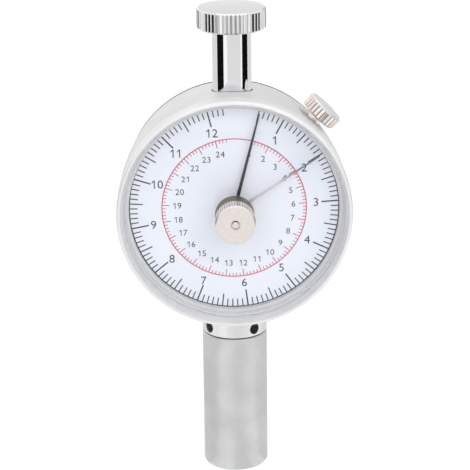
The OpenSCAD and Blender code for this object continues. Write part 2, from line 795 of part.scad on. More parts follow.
module plunger_rod() {
    bevel = 0.4;
    stud_low_z = seat_top_z - seat_t - nut_t - 2;
    flat_low_z = dial_z - pillar_z - 2.2;
    flat_h = travel + 2 * (pillar_z + 2.2);
    color(chrome) difference() {
        rotate_extrude()
            polygon([[0, stud_low_z], [stud_r, stud_low_z], [stud_r, seat_top_z + fit_gap],
                [spindle_r, seat_top_z + fit_gap], [spindle_r, shoulder_z],
                [rod_r - bevel, shoulder_z], [rod_r, shoulder_z + bevel], [rod_r, head_z - fit_gap],
                [head_stud_r, head_z - fit_gap], [head_stud_r, head_z + head_stud_len],
                [0, head_z + head_stud_len]]);
        translate([-rod_d, -rod_d, flat_low_z]) cube([2 * rod_d, rod_d + spindle_flat_y, flat_h]);
        translate([rack_flat_x, -rod_d, rack_low_z - 0.2])
            cube([rod_d, 2 * rod_d, rack_high_z - rack_low_z + 0.4]);
        for (z = rack_screw_heights) translate([-rack_screw_deep - 0.3, 0, z]) rotate([0, 90, 0])
            cylinder(r = plate_screw_r + fit_gap, h = rod_d, $fn = 32);
    }
}

module plunger_head() {
    bevel = 0.4;
    r = head_d / 2;
    arc = 6;
    // The dome's arc meets the bevel's edge
    dome_r = (pow(r - bevel, 2) + head_dome * head_dome) / (2 * head_dome);
    sweep = asin((r - bevel) / dome_r);
    dome = [for (i = [0:arc]) let (a = sweep * (1 - i / arc))
        [dome_r * sin(a), head_h - dome_r + dome_r * cos(a)]];
    color(chrome) translate([0, 0, head_z]) difference() {
        intersection() {
            linear_extrude(height = head_h) knurl_outline(r, head_teeth, knurl_depth);
            rotate_extrude()
                polygon(concat([[0, 0], [r - bevel, 0], [r + 0.01, bevel],
                    [r + 0.01, head_h - head_dome - bevel]], dome));
        }
        translate([0, 0, -1]) cylinder(r = head_stud_r + fit_gap, h = head_stud_len + 1.2);
    }
}

// Outline of the rack seen from the front: teeth towards the pinion, back towards +X
module rack_outline() {
    root_x = pitch_r + dedendum;
    tip_x = pitch_r - addendum;
    lean = (dedendum + addendum) * tan(20) / 2;
    translate([root_x, rack_low_z - dial_z]) square([rack_back_x - root_x, rack_high_z - rack_low_z]);
    for (i = [-rack_teeth_down:rack_teeth_up]) translate([0, i * pitch])
        polygon([[root_x + 0.1, -rack_tooth / 2 - lean], [root_x, -rack_tooth / 2 - lean],
            [tip_x, -rack_tooth / 2 + lean], [tip_x, rack_tooth / 2 - lean],
            [root_x, rack_tooth / 2 + lean], [root_x + 0.1, rack_tooth / 2 + lean]]);
}

module rack() {
    root_x = pitch_r + dedendum;
    leg_y = pinion_back_y + pinion_play;
    leg_back_y = spindle_r - 1;
    rack_h = rack_high_z - rack_low_z;
    color(steel) difference() {
        union() {
            translate([0, pinion_back_y, dial_z]) rotate([90, 0, 0])
                linear_extrude(height = pinion_back_y - pinion_y) rack_outline();
            translate([root_x, pinion_back_y - 0.5, rack_low_z])
                cube([rack_back_x - root_x, leg_y - pinion_back_y + 1, rack_h]);
            translate([rack_flat_x + fit_gap, leg_y, rack_low_z])
                cube([rack_back_x - rack_flat_x - fit_gap, leg_back_y - leg_y, rack_h]);
        }
        for (z = rack_screw_heights) translate([0, 0, z]) rotate([0, 90, 0])
            cylinder(r = plate_screw_r + 0.1, h = rod_d, $fn = 32);
    }
}

module rack_screws() {
    color(steel) for (z = rack_screw_heights) difference() {
        union() {
            translate([-rack_screw_deep, 0, z]) rotate([0, 90, 0])
                cylinder(r = plate_screw_r, h = rack_back_x + rack_screw_deep + 0.3, $fn = 32);
            translate([rack_back_x + fit_gap, 0, z]) rotate([0, 90, 0])
                cylinder(r = plate_screw_head_r, h = plate_screw_head_h, $fn = 32);
        }
        translate([rack_back_x + plate_screw_head_h + 0.3, 0, z]) cube([1, 2, screw_slot], center = true);
    }
}

// Dial lock

// Places its children on the lock screw's axis, with Z pointing out of the case
module on_lock_axis(r) {
    at_clock(lock_angle) translate([0, lock_y, r]) children();
}

module lock_screw() {
    thread_in = shoe_in_r - 0.3;
    thread_len = lock_seat_r - thread_in + 0.5;
    stem_len = lock_knob_r - lock_seat_r + 0.5;
    color(nickel) {
        on_lock_axis(thread_in) cylinder(r = lock_thread_d / 2, h = thread_len, $fn = 48);
        on_lock_axis(lock_seat_r + fit_gap) cylinder(r = lock_stem_d / 2, h = stem_len, $fn = 48);
        on_lock_axis(lock_knob_r) knurled(lock_d / 2, lock_len, lock_teeth, knurl_depth, 0.5);
    }
}

// The shoe is drawn outwards by the screw, and its toe grips the inside of the bezel's skirt
module lock_shoe() {
    color(brass) difference() {
        on_dial_axis() rotate([0, 0, lock_angle - 90 - shoe_sweep / 2]) rotate_extrude(angle = shoe_sweep)
            polygon([[shoe_in_r, shoe_front_y], [shoe_toe_r, shoe_front_y], [shoe_toe_r, toe_back_y],
                [shoe_out_r, toe_back_y], [shoe_out_r, shoe_back_y], [shoe_in_r, shoe_back_y]]);
        on_lock_axis(shoe_in_r - 3) cylinder(r = lock_thread_d / 2 + run_gap, h = case_r, $fn = 48);
    }
}

case_body();
back_cover();
back_cover_screws();
neck_tube();
neck_collar();
handle_tube();
load_spring();
spring_washer();
upper_bush();
lower_bush();
movement_plate();
plate_screws();
arbor_bush();
arbor_bridge();
bridge_pillars();
bridge_screws();
snap_ring();
bezel();
crystal();
dial_ring();
dial_plate();
stem_bush();
reset_stem();
reset_knob();
knob_screw();
drag_hand();
pinion_arbor();
drive_hand();
hand_hub();
plunger_rod();
plunger_head();
rack();
rack_screws();
spring_seat();
seat_nut();
lock_screw();
lock_shoe();
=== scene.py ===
"""Looks of the fruit hardness tester: finishes, printed dial, studio and camera."""
import json
import math

import bpy
from mathutils import Matrix, Vector


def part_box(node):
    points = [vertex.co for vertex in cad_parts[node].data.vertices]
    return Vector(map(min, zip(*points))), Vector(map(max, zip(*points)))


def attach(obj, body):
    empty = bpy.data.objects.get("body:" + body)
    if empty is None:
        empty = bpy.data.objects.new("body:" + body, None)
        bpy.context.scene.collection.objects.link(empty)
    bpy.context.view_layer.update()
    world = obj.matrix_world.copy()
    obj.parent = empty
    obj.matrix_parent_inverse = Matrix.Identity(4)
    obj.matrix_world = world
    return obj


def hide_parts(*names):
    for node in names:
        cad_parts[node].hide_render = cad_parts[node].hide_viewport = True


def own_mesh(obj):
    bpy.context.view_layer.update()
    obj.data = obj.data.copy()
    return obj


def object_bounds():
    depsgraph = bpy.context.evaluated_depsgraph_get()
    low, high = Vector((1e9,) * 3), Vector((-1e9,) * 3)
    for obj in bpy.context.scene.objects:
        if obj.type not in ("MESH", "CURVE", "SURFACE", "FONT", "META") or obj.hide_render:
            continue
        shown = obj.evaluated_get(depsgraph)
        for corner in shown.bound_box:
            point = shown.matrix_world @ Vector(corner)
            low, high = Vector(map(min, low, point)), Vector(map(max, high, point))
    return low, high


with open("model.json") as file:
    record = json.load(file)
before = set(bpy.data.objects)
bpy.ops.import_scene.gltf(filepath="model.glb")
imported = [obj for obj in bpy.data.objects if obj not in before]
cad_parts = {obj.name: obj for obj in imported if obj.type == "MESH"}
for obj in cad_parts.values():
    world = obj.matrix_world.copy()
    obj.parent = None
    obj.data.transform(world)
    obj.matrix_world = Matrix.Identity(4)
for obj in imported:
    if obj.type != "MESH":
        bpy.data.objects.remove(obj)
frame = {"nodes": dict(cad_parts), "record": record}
cad_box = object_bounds()
MM = 0.001
MM_PER_M = 1000

# Places taken from the frame
ground_z = cad_box[0][2]
dial_low, dial_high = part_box("dial_plate")
dial_centre = Vector((0, dial_low.y, (dial_low.z + dial_high.z) / 2))
crystal_low, crystal_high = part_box("crystal")
knob_low, knob_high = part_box("reset_knob")
pin_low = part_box("knob_screw")[0]
head_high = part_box("plunger_head")[1]
lock_low, lock_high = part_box("lock_screw")

# Facts taken from the record
joints = {joint["name"]: joint for joint in frame["record"]["behaviour"]["joints"]}
lock_joint = joints["lock_turn"]
plunger_joint = joints["plunger_slide"]
node_slot = {part["node"]: part["material_slot"] for part in frame["record"]["subparts"]}
bodies = frame["record"]["behaviour"]["bodies"]
node_body = {name: body for body, names in bodies.items() for name in names}

# Directions and turns
FRONT = (0, -1, 0)
REAR = (0, 1, 0)
UP = (0, 0, 1)
LEVEL = Matrix.Identity(4)
FACING_FRONT = Matrix.Rotation(math.radians(90), 4, "X")
FACING_SIDE = Matrix.Rotation(math.radians(90), 4, "Y")


# Small tools for modelling

MERGE_GAP = 0.0005 * MM


def deselect():
    bpy.ops.object.select_all(action="DESELECT")


def make_active(piece):
    deselect()
    piece.select_set(True)
    bpy.context.view_layer.objects.active = piece


def name_piece(name):
    """Names the active object and its mesh."""
    piece = bpy.context.object
    piece.name = name
    piece.data.name = name
    return piece


def apply_place(piece):
    make_active(piece)
    bpy.ops.object.transform_apply(location=True, rotation=True, scale=True)


def apply_modifier(piece, name, kind, **settings):
    """Adds a modifier to the active piece, with its settings, and applies it."""
    modifier = piece.modifiers.new(name, kind)
    for key, value in settings.items():
        setattr(modifier, key, value)
    bpy.ops.object.modifier_apply(modifier=modifier.name)


def join(pieces, name):
    deselect()
    for piece in pieces:
        piece.select_set(True)
    bpy.context.view_layer.objects.active = pieces[0]
    bpy.ops.object.join()
    joined = name_piece(name)
    apply_place(joined)
    return joined


def set_finish(piece, material):
    piece.data.materials.clear()
    piece.data.materials.append(material)


# Small tools for shaders

NOISE_RANGE = (0.25, 0.75)


def add_node(tree, kind, **settings):
    made = tree.nodes.new(kind)
    for key, value in settings.items():
        setattr(made, key, value)
    return made


def feed(tree, socket, value):
    """Links an input to another socket, or sets it to a plain value."""
    if isinstance(value, bpy.types.NodeSocket):
        tree.links.new(value, socket)
    else:
        socket.default_value = value


def maths(tree, operation, *values, clamp=False):
    """One sum on values, each a socket or a number."""
    step = add_node(tree, "ShaderNodeMath", operation=operation, use_clamp=clamp)
    for socket, value in zip(step.inputs, values):
        feed(tree, socket, value)
    return step.outputs["Value"]


def vector_maths(tree, operation, *values):
    """One sum on vectors, each a socket or three numbers; a length or dot product is a single value."""
    step = add_node(tree, "ShaderNodeVectorMath", operation=operation)
    for socket, value in zip(step.inputs, values):
        feed(tree, socket, value)
    return step.outputs["Value" if operation in ("LENGTH", "DOT_PRODUCT") else "Vector"]


def map_range(tree, value, given, wanted):
    """Maps a value from one range onto another, and holds it at the ends."""
    step = add_node(tree, "ShaderNodeMapRange")
    for label, number in zip(("From Min", "From Max", "To Min", "To Max"), (*given, *wanted)):
        step.inputs[label].default_value = number
    feed(tree, step.inputs["Value"], value)
    return step.outputs["Result"]


def vary(tree, noise, low, high):
    """Maps the usual range of a noise onto a range."""
    return map_range(tree, noise, NOISE_RANGE, (low, high))


def mix_by(tree, kind, mask, first, second):
    """The first colour or value where a mask is 0 and the second where it is 1; kind is RGBA or FLOAT."""
    mix = add_node(tree, "ShaderNodeMix", data_type=kind)
    feed(tree, mix.inputs["Factor"], mask)
    feed(tree, mix.inputs["A"], first)
    feed(tree, mix.inputs["B"], second)
    return mix.outputs["Result"]


def mix_shaders(tree, mask, first, second, output):
    """Sends the first shader to an output node where a mask is 0, and the second where it is 1."""
    mix = add_node(tree, "ShaderNodeMixShader")
    for socket, source in zip(mix.inputs, (mask, first, second)):
        tree.links.new(source, socket)
    tree.links.new(mix.outputs["Shader"], output.inputs["Surface"])


def object_place(tree):
    return add_node(tree, "ShaderNodeTexCoord").outputs["Object"]


def add_group(tree, group, values):
    """Places a shader group with its own values, and gives its outputs."""
    made = add_node(tree, "ShaderNodeGroup", node_tree=group)
    for label, value in values.items():
        feed(tree, made.inputs[label], value)
    return made.outputs


# Shader groups

LATHE_NOISES = {"Height": (1, 3), "Streak": (0.13, 2)}
GRAIN_DETAIL = 2
MARK_DETAIL = 4
GROOVE_REACH = 1.3
SIDE_LEAN = 0.3


def new_group(name, inputs, outputs):
    """An empty shader group, with its inputs and outputs as they are reached from inside."""
    group = bpy.data.node_groups.new(name, "ShaderNodeTree")
    for label, kind, value in inputs:
        socket = group.interface.new_socket(name=label, in_out="INPUT", socket_type=kind)
        socket.default_value = value
    for label in outputs:
        group.interface.new_socket(name=label, in_out="OUTPUT", socket_type="NodeSocketFloat")
    enter = add_node(group, "NodeGroupInput")
    leave = add_node(group, "NodeGroupOutput")
    return group, enter.outputs, leave.inputs


def turned_lines_group():
    """Lathe marks: fine lines and broader streaks across an axis, from the coordinate that runs along it."""
    group, enter, leave = new_group("turned_lines",
        [("Along", "NodeSocketFloat", 0.0), ("Lines per mm", "NodeSocketFloat", 6.0)],
        ["Height", "Streak"])
    per_metre = maths(group, "MULTIPLY", enter["Lines per mm"], MM_PER_M)
    along = maths(group, "MULTIPLY", enter["Along"], per_metre)
    for output, (scale, detail) in LATHE_NOISES.items():
        noise = add_node(group, "ShaderNodeTexNoise", noise_dimensions="1D")
        noise.inputs["Scale"].default_value = scale
        noise.inputs["Detail"].default_value = detail
        feed(group, noise.inputs["W"], along)
        feed(group, leave[output], noise.outputs["Fac"])
    return group


def grain_group():
    """Fine blasted grain, and broad soft marks from handling."""
    group, enter, leave = new_group("fine_grain",
        [("Position", "NodeSocketVector", (0, 0, 0)), ("Grain mm", "NodeSocketFloat", 0.12),
         ("Mark mm", "NodeSocketFloat", 6.0)],
        ["Height", "Marks"])
    for size, detail, output in (("Grain mm", GRAIN_DETAIL, "Height"), ("Mark mm", MARK_DETAIL, "Marks")):
        noise = add_node(group, "ShaderNodeTexNoise", noise_dimensions="3D")
        noise.inputs["Detail"].default_value = detail
        feed(group, noise.inputs["Scale"], maths(group, "DIVIDE", MM_PER_M, enter[size]))
        feed(group, noise.inputs["Vector"], enter["Position"])
        feed(group, leave[output], noise.outputs["Fac"])
    return group


def knurl_group():
    """What lies below the crests of a straight knurl: its grooves, on faces that run along its axis, as a
    mask for painted shade.
    """
    group, enter, leave = new_group("knurl_grooves",
        [("Position", "NodeSocketVector", (0, 0, 0)), ("Centre", "NodeSocketVector", (0, 0, 0)),
         ("Axis", "NodeSocketVector", UP), ("Crest mm", "NodeSocketFloat", 5.0),
         ("Depth mm", "NodeSocketFloat", 0.2), ("Narrowness", "NodeSocketFloat", 2.0)],
        ["Groove"])
    offset = vector_maths(group, "SUBTRACT", enter["Position"], enter["Centre"])
    across = vector_maths(group, "CROSS_PRODUCT", offset, enter["Axis"])
    radius = maths(group, "MULTIPLY", vector_maths(group, "LENGTH", across), MM_PER_M)
    drop = maths(group, "SUBTRACT", enter["Crest mm"], radius)
    share = maths(group, "DIVIDE", drop, enter["Depth mm"])
    within = maths(group, "LESS_THAN", share, GROOVE_REACH)
    deep = maths(group, "POWER", share, enter["Narrowness"], clamp=True)
    normal = add_node(group, "ShaderNodeNewGeometry").outputs["Normal"]
    lean = maths(group, "ABSOLUTE", vector_maths(group, "DOT_PRODUCT", normal, enter["Axis"]))
    side = maths(group, "LESS_THAN", lean, SIDE_LEAN)
    knurled = maths(group, "MULTIPLY", deep, within)
    feed(group, leave["Groove"], maths(group, "MULTIPLY", knurled, side))
    return group


TURNED = turned_lines_group()
GRAIN = grain_group()
KNURL = knurl_group()


# Materials, with sizes in millimetres

BUMP_DEPTH = 0.02
SPECKLE = 0.3
SPECKLE_TONE = 0.86
SPECKLE_ROUGH = 0.06
GROOVE_ROUGH = 0.35
GLASS_TONE = (0.99, 0.995, 1.0)
GLASS_IOR = 1.45
GLASS_SPECULAR = 0.15
FILM_MARK = 9
FILM_ROUGH = 0.015
RIM_GROUND = 0.3
RIM_FADE = 0.05
RIM_TONE = (0.88, 0.88, 0.89)
RIM_ROUGH = 0.5
QUARTER_TURN = 0.25


def new_material(name):
    """An empty material, with its nodes and its shader."""
    material = bpy.data.materials.new(name)
    material.use_nodes = True
    tree = material.node_tree
    return material, tree, tree.nodes["Principled BSDF"]


def metal(name, colour, second, rough, grain=0.12, marks=6.0, along=None, lines=6.0, bump=0.02,
        metallic=1.0, specular=0.5):
    """A metal or paint: two close tones, roughness that varies with handling, and lathe lines or grain."""
    material, tree, shader = new_material(name)
    shader.inputs["Metallic"].default_value = metallic
    shader.inputs["Specular IOR Level"].default_value = specular
    place = object_place(tree)
    worn = add_group(tree, GRAIN, {"Position": place, "Grain mm": grain, "Mark mm": marks})
    height = worn["Height"]
    tone = worn["Marks"]
    if along:
        split = add_node(tree, "ShaderNodeSeparateXYZ")
        tree.links.new(place, split.inputs["Vector"])
        turned = add_group(tree, TURNED, {"Along": split.outputs[along], "Lines per mm": lines})
        height = turned["Height"]
        both = maths(tree, "ADD", turned["Streak"], worn["Marks"])
        tone = maths(tree, "MULTIPLY", both, 0.5)
    colours = mix_by(tree, "RGBA", vary(tree, tone, 0, 1), (*colour, 1), (*second, 1))
    tree.links.new(colours, shader.inputs["Base Color"])
    tree.links.new(vary(tree, tone, *rough), shader.inputs["Roughness"])
    bumped = add_node(tree, "ShaderNodeBump")
    bumped.inputs["Distance"].default_value = BUMP_DEPTH * MM
    bumped.inputs["Strength"].default_value = bump
    tree.links.new(height, bumped.inputs["Height"])
    tree.links.new(bumped.outputs["Normal"], shader.inputs["Normal"])
    return material


def overlay(material, mask, tone, rough):
    """Lays a second, finely speckled tone and its roughness over a finish where a mask is 1."""
    tree = material.node_tree
    shader = tree.nodes["Principled BSDF"]
    speckle = add_group(tree, GRAIN, {"Position": object_place(tree), "Grain mm": SPECKLE})["Height"]
    deeper = [SPECKLE_TONE * channel for channel in tone]
    colours = mix_by(tree, "RGBA", vary(tree, speckle, 0, 1), (*tone, 1), (*deeper, 1))
    roughs = vary(tree, speckle, rough, rough + SPECKLE_ROUGH)
    for label, kind, over in (("Base Color", "RGBA", colours), ("Roughness", "FLOAT", roughs)):
        socket = shader.inputs[label]
        under = socket.links[0].from_socket if socket.is_linked else socket.default_value
        tree.links.new(mix_by(tree, kind, mask, under, over), socket)


def darken_grooves(material, centre, axis, crest, depth, tone, narrowness=2):
    """Painted shade: a dark tone laid in the grooves of a straight knurl about an axis, with its crest
    radius and depth.
    """
    tree = material.node_tree
    knurl = add_group(tree, KNURL, {
        "Position": object_place(tree), "Centre": centre, "Axis": axis,
        "Crest mm": crest, "Depth mm": depth, "Narrowness": narrowness,
    })
    overlay(material, knurl["Groove"], tone, GROOVE_ROUGH)


def tone_beyond(material, point, axis, tone, rough):
    """A second tone and roughness beyond a point, along an axis."""
    tree = material.node_tree
    offset = vector_maths(tree, "SUBTRACT", object_place(tree), point)
    reach = vector_maths(tree, "DOT_PRODUCT", offset, axis)
    overlay(material, maths(tree, "GREATER_THAN", reach, 0), tone, rough)


def outwards(tree, near, far):
    """A value that grows from 0 to 1 between two distances from the dial's axis."""
    offset = vector_maths(tree, "SUBTRACT", object_place(tree), dial_centre)
    flat = vector_maths(tree, "MULTIPLY", offset, (1, 0, 1))
    distance = vector_maths(tree, "LENGTH", flat)
    return map_range(tree, distance, (near * MM, far * MM), (0, 1))


def fade_outwards(material, near, far, tone, rough):
    """A tone that grows from one distance to another from the dial's axis."""
    overlay(material, outwards(material.node_tree, near, far), tone, rough)


def brush_round(material, share):
    """Brush marks that run round the dial's axis, which draw reflections out along it."""
    tree = material.node_tree
    shader = tree.nodes["Principled BSDF"]
    shader.inputs["Anisotropic"].default_value = share
    shader.inputs["Anisotropic Rotation"].default_value = QUARTER_TURN
    round_axis = add_node(tree, "ShaderNodeTangent", direction_type="RADIAL", axis="Y")
    tree.links.new(round_axis.outputs["Tangent"], shader.inputs["Tangent"])


def glass(name):
    """A clear window with a ground rim, which lets light through to what lies behind it."""
    material, tree, shader = new_material(name)
    shader.inputs["Base Color"].default_value = (*GLASS_TONE, 1)
    shader.inputs["Transmission Weight"].default_value = 1
    shader.inputs["IOR"].default_value = GLASS_IOR
    shader.inputs["Specular IOR Level"].default_value = GLASS_SPECULAR
    film = add_group(tree, GRAIN, {"Position": object_place(tree), "Mark mm": FILM_MARK})["Marks"]
    tree.links.new(vary(tree, film, 0, FILM_ROUGH), shader.inputs["Roughness"])
    clear_r = (crystal_high.x - crystal_low.x) / 2 / MM - RIM_GROUND
    fade_outwards(material, clear_r, clear_r + RIM_FADE, RIM_TONE, RIM_ROUGH)
    path = add_node(tree, "ShaderNodeLightPath").outputs
    light = maths(tree, "MAXIMUM", path["Is Shadow Ray"], path["Is Diffuse Ray"])
    clear = add_node(tree, "ShaderNodeBsdfTransparent")
    mix_shaders(tree, light, shader.outputs["BSDF"], clear.outputs["BSDF"], tree.nodes["Material Output"])
    return material


# Finishes of the record's slots

CASE_BRUSH = 0.95
HAND_SHADE_SPAN = (13, 21)
HEAD_KNURL = 0.2
HEAD_FACE = 0.38
PIN_FACE = 0.1

FINISHES = {
    "case_satin": metal("satin_case", (0.80, 0.80, 0.805), (0.75, 0.75, 0.76), (0.3, 0.38),
        grain=0.1, bump=0.12, metallic=0.75),
    "handle_satin": metal("satin_handle", (0.74, 0.74, 0.745), (0.62, 0.62, 0.63), (0.33, 0.43),
        marks=7, bump=0.05),
    "collar_bright": metal("bright_collar", (0.84, 0.84, 0.845), (0.81, 0.81, 0.82), (0.22, 0.3),
        along="Z", lines=8.0, bump=0.06),
    "cover_black": metal("black_cover", (0.012, 0.012, 0.013), (0.02, 0.02, 0.022), (0.6, 0.7),
        grain=0.2, bump=0.15, metallic=0.0, specular=0.02),
    "chrome": metal("chrome_plate", (0.86, 0.86, 0.87), (0.83, 0.83, 0.84), (0.03, 0.07),
        marks=10, bump=0.01),
    "head_nickel": metal("nickel_head", (0.86, 0.86, 0.86), (0.82, 0.82, 0.82), (0.07, 0.12),
        marks=4, bump=0.03),
    # Painted shade: the pin is dark all over for the shade in the groove round it; its front face alone
    # keeps the pale nickel tone.
    "knob_nickel": metal("nickel_pin_painted_groove_shade", (0.10, 0.075, 0.06), (0.07, 0.05, 0.04), (0.4, 0.5),
        marks=2, bump=0.04),
    "steel": metal("machined_steel", (0.42, 0.43, 0.45), (0.36, 0.37, 0.39), (0.25, 0.35),
        marks=3, bump=0.05),
    "spring_steel": metal("spring_wire", (0.28, 0.29, 0.31), (0.2, 0.21, 0.22), (0.3, 0.4),
        marks=2, bump=0.05),
    "brass": metal("machined_brass", (0.62, 0.42, 0.14), (0.55, 0.36, 0.11), (0.22, 0.33),
        marks=4, bump=0.05),
    "crystal_glass": glass("crystal_window"),
    "dial_ring_grey": metal("frosted_ring", (0.66, 0.66, 0.68), (0.62, 0.62, 0.64), (0.5, 0.6),
        grain=0.16, marks=0.8, bump=0.2, metallic=0.2),
    "dial_white": metal("dial_enamel", (0.775, 0.805, 0.895), (0.80, 0.83, 0.915), (0.35, 0.45),
        marks=20, metallic=0.0),
    "hand_black": metal("black_hand", (0.014, 0.014, 0.026), (0.022, 0.022, 0.036), (0.4, 0.5),
        bump=0.03, metallic=0.0, specular=0.2),
    "hand_silver": metal("silver_hand", (0.66, 0.60, 0.61), (0.60, 0.55, 0.56), (0.35, 0.45), bump=0.03),
}
brush_round(FINISHES["case_satin"], CASE_BRUSH)
# Painted shade: the drag hand darkens from 13 to 21 mm out along its length.
fade_outwards(FINISHES["hand_silver"], *HAND_SHADE_SPAN, (0.19, 0.19, 0.2), 0.3)
# Painted shade in the head's knurl grooves.
darken_grooves(FINISHES["head_nickel"], (0, 0, 0), UP, head_high.x / MM, HEAD_KNURL, (0.53, 0.53, 0.53))
# Painted shade: the top face and its bevel get a darker tone than the knurled sides.
head_top_shade_edge = (0, 0, head_high.z - HEAD_FACE * MM)
tone_beyond(FINISHES["head_nickel"], head_top_shade_edge, UP, (0.72, 0.72, 0.72), 0.1)
# The pale nickel tone on the pin's front face, over its painted shade.
pin_edge = (0, pin_low.y + PIN_FACE * MM, 0)
tone_beyond(FINISHES["knob_nickel"], pin_edge, FRONT, (0.97, 0.90, 0.87), 0.45)


# Finishes of single nodes, within their slots

KNOB_KNURL = 0.13
KNOB_NARROWNESS = 1.2
KNOB_GRIP = 4.2
KNOB_FACE = 0.15
KNOB_RIM_HIGHLIGHT = 0.3
LOCK_KNURL = 0.2
LOCK_FACE = 0.1


def make_knob_finish():
    """The reset knob: a dark rear half as painted shade and reflection, a bright rear rim as a painted
    highlight, a bright knurled grip with painted shade in its grooves, and a pale front face.
    """
    # Painted shade and reflection: the dark brown base tone stays on the smooth rear half.
    finish = metal("nickel_knob", (0.42, 0.35, 0.25), (0.24, 0.17, 0.13), (0.42, 0.5), marks=2, bump=0.04)
    grip_edge = (0, knob_low.y + KNOB_GRIP * MM, 0)
    rim_highlight_edge = (0, knob_high.y - KNOB_RIM_HIGHLIGHT * MM, 0)
    face_edge = (0, knob_low.y + KNOB_FACE * MM, 0)
    tone_beyond(finish, grip_edge, FRONT, (0.93, 0.85, 0.79), 0.3)
    # Painted shade in the grip's grooves.
    darken_grooves(finish, dial_centre, REAR, knob_high.x / MM, KNOB_KNURL, (0.02, 0.014, 0.012),
        KNOB_NARROWNESS)
    # Painted highlight: a bright band on the rear rim.
    tone_beyond(finish, rim_highlight_edge, REAR, (0.95, 0.88, 0.76), 0.3)
    tone_beyond(finish, face_edge, FRONT, (0.99, 0.92, 0.885), 0.5)
    return finish


def make_lock_finish():
    """The lock screw: bright nickel with painted shade in its grooves and a paler end face."""
    finish = metal("nickel_lock_screw", (0.98, 0.93, 0.90), (0.80, 0.71, 0.65), (0.1, 0.16),
        marks=1.6, bump=0.04)
    axis = Vector(lock_joint["axis"])
    axis = axis * math.copysign(1, axis.x)
    point = Vector(lock_joint["pos_m"])
    crest = (lock_high.y - lock_low.y) / 2
    end = point + axis * (lock_high.x - crest * abs(axis.z) - point.x) / axis.x
    # Painted shade in the knurl's grooves.
    darken_grooves(finish, point, axis, crest / MM, LOCK_KNURL, (0.06, 0.045, 0.04))
    tone_beyond(finish, end - axis * LOCK_FACE * MM, axis, (0.89, 0.868, 0.866), 0.5)
    return finish


NODE_FINISHES = {
    "reset_knob": make_knob_finish(),
    "lock_screw": make_lock_finish(),
    "bezel": metal("satin_bezel", (0.85, 0.85, 0.855), (0.81, 0.81, 0.82), (0.44, 0.52),
        grain=0.1, bump=0.1, metallic=0.6),
    # Painted shade: the neck tube is near black so that the holes in the collar show dark.
    "neck_tube": metal("neck_tube_painted_hole_shade", (0.012, 0.012, 0.013), (0.02, 0.02, 0.021), (0.4, 0.5),
        metallic=0.0),
}
PRINT_BLACK = metal("print_black", (0.01, 0.01, 0.014), (0.016, 0.016, 0.022), (0.5, 0.6),
    metallic=0.0, specular=0.2)
PRINT_GREY = metal("print_grey", (0.015, 0.015, 0.022), (0.025, 0.025, 0.032), (0.5, 0.6),
    metallic=0.0, specular=0.2)
PRINT_RED = metal("print_red", (0.53, 0.034, 0.09), (0.59, 0.05, 0.11), (0.5, 0.6), metallic=0.0)

for name, node in frame["nodes"].items():
    set_finish(node, NODE_FINISHES.get(name, FINISHES[node_slot[name]]))


# Visible pieces: copies of the nodes with closed seams, fine bevels and smooth curves

FLAT_ANGLE = math.radians(0.3)
EDGE_ANGLE = math.radians(35)
EDGE_SEGMENTS = 2

# Width of each bevel in millimetres, 0 where the edges stay as they are
EDGES = {
    "case_body": 0.08, "bezel": 0.06, "handle_tube": 0.1, "neck_collar": 0.08, "back_cover": 0.1,
    "plunger_rod": 0.05, "plunger_head": 0, "reset_knob": 0, "lock_screw": 0, "knob_screw": 0.08,
    "back_cover_screws": 0.06, "crystal": 0, "dial_ring": 0.03, "drive_hand": 0.04, "drag_hand": 0.03,
    "reset_stem": 0.04, "stem_bush": 0.04, "hand_hub": 0.04,
}


def dress(name, edge):
    """A copy of a node with its triangles merged into whole faces and its edges broken by a fine bevel."""
    piece = bpy.data.objects.new(name + "_finished", frame["nodes"][name].data.copy())
    bpy.context.scene.collection.objects.link(piece)
    make_active(piece)
    bpy.ops.mesh.customdata_custom_splitnormals_clear()
    bpy.ops.object.mode_set(mode="EDIT")
    bpy.ops.mesh.select_all(action="SELECT")
    bpy.ops.mesh.remove_doubles(threshold=MERGE_GAP)
    if edge:
        bpy.ops.mesh.dissolve_limited(angle_limit=FLAT_ANGLE)
    bpy.ops.object.mode_set(mode="OBJECT")
    if edge:
        apply_modifier(piece, "edge", "BEVEL", width=edge * MM, segments=EDGE_SEGMENTS,
            limit_method="ANGLE", angle_limit=EDGE_ANGLE)
    bpy.ops.object.shade_smooth_by_angle(angle=EDGE_ANGLE)
    if edge:
        apply_modifier(piece, "even", "WEIGHTED_NORMAL", keep_sharp=True)
    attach(piece, node_body[name])
    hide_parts(name)


for name, edge in EDGES.items():
    dress(name, edge)


# Load spring, in millimetres

WIRE_D = 1.5
WIRE_SIDES = 16
SPRING_TURNS = 6
STEPS_PER_TURN = 40
SPRING_CLEAR = 0.03
WIRE_ANGLE = math.radians(40)


